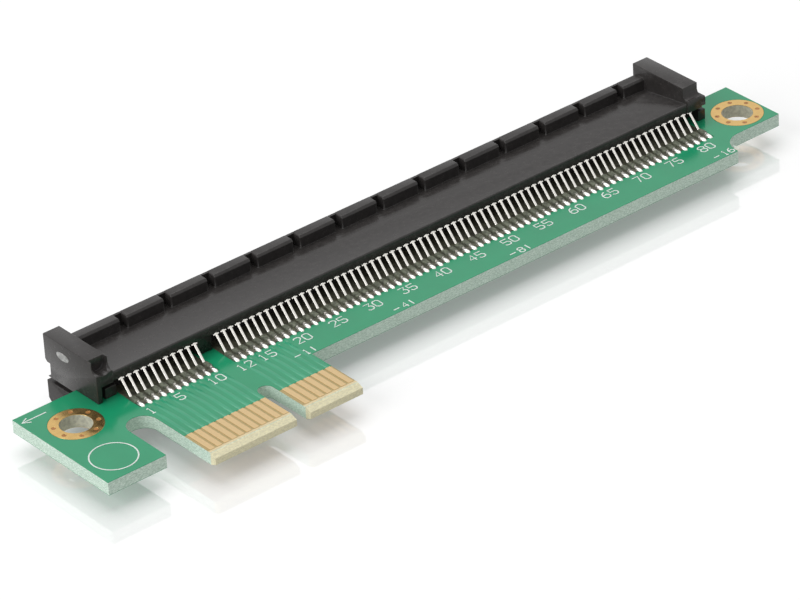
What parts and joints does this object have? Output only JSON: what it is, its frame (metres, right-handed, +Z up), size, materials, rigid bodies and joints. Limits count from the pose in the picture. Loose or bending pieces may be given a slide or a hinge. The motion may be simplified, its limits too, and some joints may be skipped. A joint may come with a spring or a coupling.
{
  "type": "pcie riser card",
  "caption": "Flat riser board with a keyed edge tongue, plated mounting holes and a long card slot mounted along its far edge.",
  "frame": {"origin": "centre of the card's box, on the plane that the undersides of the slot's two ears rest on", "axes": "+X along the slot towards the end with the shallow tab, +Y out of the slot's mouth, +Z up from the component side"},
  "size_m": [0.1042, 0.0262, 0.0088],
  "materials": {
    "laminate": "matte",
    "solder_mask": "gloss",
    "gold": "satin",
    "solder": "satin",
    "contact_metal": "satin",
    "housing_plastic": "satin"
  },
  "bodies": {
    "root": {"board_core": "laminate", "solder_mask_top": "solder_mask", "solder_mask_bottom": "solder_mask", "short_fingers_top": "gold", "long_fingers_top": "gold", "short_fingers_bottom": "gold", "long_fingers_bottom": "gold", "left_land_top": "gold", "left_land_bottom": "gold", "right_land_top": "gold", "right_land_bottom": "gold", "short_pads_top": "solder", "long_pads_top": "solder", "short_pads_bottom": "solder", "long_pads_bottom": "solder", "short_contacts_upper": "contact_metal", "long_contacts_upper": "contact_metal", "short_contacts_lower": "contact_metal", "long_contacts_lower": "contact_metal", "connector_housing": "housing_plastic"}
  },
  "joints": []
}
